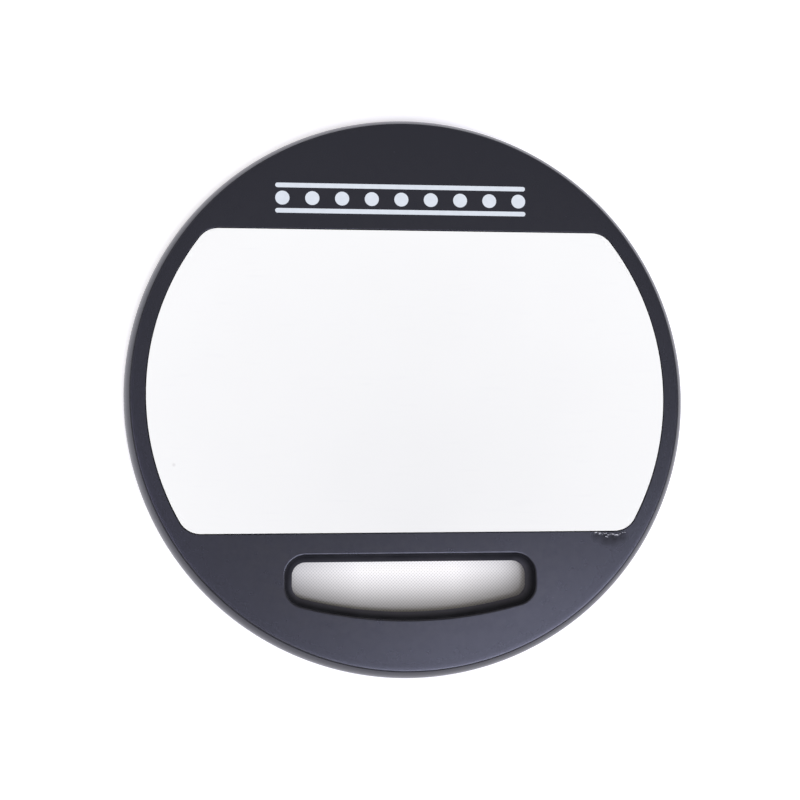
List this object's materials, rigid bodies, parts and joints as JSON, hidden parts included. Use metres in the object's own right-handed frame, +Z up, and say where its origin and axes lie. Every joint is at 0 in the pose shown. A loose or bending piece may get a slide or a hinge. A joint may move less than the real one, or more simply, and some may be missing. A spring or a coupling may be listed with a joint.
{
  "type": "practice pad",
  "caption": "Round flat practice pad for drum brushes and sticks: coated playing surface in a dark moulded body with a carrying slot and a rubber ring underneath.",
  "frame": {"origin": "on the standing plane, under the centre of the round body", "axes": "+Z up through the playing surface; the carrying slot lies towards -Y; +X to the right seen from above with the slot nearest"},
  "size_m": [0.3556, 0.3556, 0.02],
  "materials": {
    "face_plastic": "satin charcoal-black moulded face, very fine grain",
    "body_plastic": "satin charcoal-black moulding, a little greyer than the face",
    "play_coating": "cool white coated playing film, matt, very fine tooth",
    "print_ink": "pale grey-blue screen print",
    "adhesive": "clear, slightly yellow contact adhesive film",
    "foam": "closed-cell foam, dark grey",
    "board": "bare hardboard",
    "grip_rubber": "matt black non-slip rubber",
    "screw_steel": "zinc-plated steel"
  },
  "bodies": {
    "root": {"face_plate": "face_plastic", "body_tray": "body_plastic", "play_sheet": "play_coating", "sheet_adhesive": "adhesive", "foam_layer": "foam", "core_board": "board", "grip_ring": "grip_rubber", "screw_01": "screw_steel", "screw_02": "screw_steel", "screw_03": "screw_steel", "screw_04": "screw_steel", "screw_05": "screw_steel", "screw_06": "screw_steel", "screw_07": "screw_steel", "screw_08": "screw_steel", "screw_09": "screw_steel", "screw_10": "screw_steel", "screw_11": "screw_steel", "screw_12": "screw_steel", "screw_13": "screw_steel", "screw_14": "screw_steel"}
  },
  "joints": []
}
